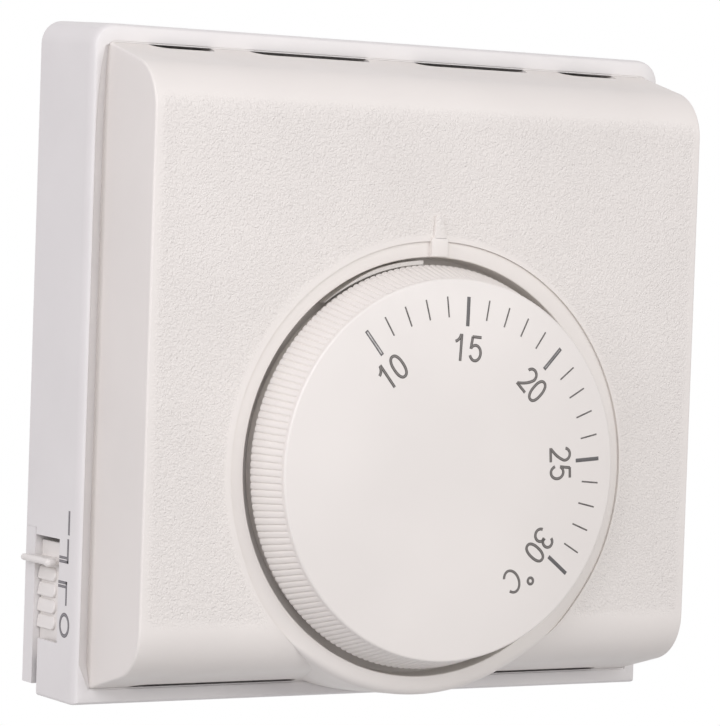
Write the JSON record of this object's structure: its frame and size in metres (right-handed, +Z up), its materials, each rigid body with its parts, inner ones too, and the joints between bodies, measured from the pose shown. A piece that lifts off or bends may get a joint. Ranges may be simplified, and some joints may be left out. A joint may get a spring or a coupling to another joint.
{
  "type": "mechanical room thermostat",
  "caption": "Wall-mounted square room temperature controller with a ribbed setting dial, a side slide switch and a gas-capsule snap-switch mechanism.",
  "frame": {"origin": "centre of the back face, on the wall", "axes": "+Z up, +X to the viewer's right, +Y into the wall; the front faces -Y"},
  "size_m": [0.0867, 0.0354, 0.0864],
  "materials": {
    "housing_plastic": "fine grain",
    "cover_plastic": "leather grain",
    "seat_plastic": "moulded",
    "switch_plastic": "moulded",
    "plunger_plastic": "moulded",
    "terminal_plastic": "moulded",
    "resistor_lacquer": "lacquered",
    "zinc_steel": "zinc plated",
    "spring_steel": "bare",
    "brass": "bare",
    "capsule_bronze": "bare"
  },
  "bodies": {
    "case": {"wall_plate": "housing_plastic", "housing": "housing_plastic", "front_cover": "cover_plastic", "housing_screws": "zinc_steel", "cover_screw": "zinc_steel", "spindle_bush": "brass", "guide_pins": "zinc_steel", "range_spring": "spring_steel", "bracket": "zinc_steel", "bracket_screws": "zinc_steel", "gas_capsule": "capsule_bronze", "lever_pin": "zinc_steel", "snap_switch_case": "switch_plastic", "snap_switch_tabs": "brass", "snap_switch_screws": "zinc_steel", "fixed_contacts": "brass", "detent_spring": "spring_steel", "terminal_block": "terminal_plastic", "terminal_clamps": "brass", "terminal_screws": "zinc_steel", "link_strips": "brass", "heater_resistor": "resistor_lacquer"},
    "dial": {"setting_dial": "cover_plastic", "range_pins": "zinc_steel", "dial_spindle": "brass", "spindle_clip": "spring_steel"},
    "seat": {"spring_seat": "seat_plastic"},
    "lever": {"actuating_lever": "zinc_steel", "trim_screw": "brass", "trim_nut": "brass"},
    "stem": {"capsule_stem": "brass"},
    "plunger": {"snap_switch_plunger": "plunger_plastic"},
    "slider": {"mode_slider": "cover_plastic", "slide_wiper": "brass"}
  },
  "joints": [
    {"name": "dial_turn", "type": "hinge", "parent": "case", "child": "dial", "pos_m": [0, -0.03, -0.0119], "axis": [0, 1, 0], "range_deg": [-127.1, 37.7]},
    {"name": "seat_slide", "type": "slide", "parent": "case", "child": "seat", "axis": [0, 1, 0], "range_m": [-0.00027, 0.00087], "deforming": ["range_spring"]},
    {"name": "lever_turn", "type": "hinge", "parent": "case", "child": "lever", "pos_m": [-0.02, -0.0124, -0.0119], "axis": [0, 0, -1], "range_deg": [0, 1], "deforming": ["range_spring"]},
    {"name": "stem_slide", "type": "slide", "parent": "case", "child": "stem", "axis": [0, -1, 0], "range_m": [0, 0.00036]},
    {"name": "plunger_slide", "type": "slide", "parent": "case", "child": "plunger", "axis": [0, -1, 0], "range_m": [0, 0.00078]},
    {"name": "slider_slide", "type": "slide", "parent": "case", "child": "slider", "axis": [0, 0, 1], "range_m": [-0.0025, 0.0025], "deforming": ["detent_spring"]}
  ],
  "couplings": [
    {"joint": "seat_slide", "follows": "dial_turn", "m_per_rad": -0.000382},
    {"joint": "stem_slide", "follows": "lever_turn", "m_per_rad": 0.02},
    {"joint": "plunger_slide", "follows": "lever_turn", "m_per_rad": 0.044}
  ]
}
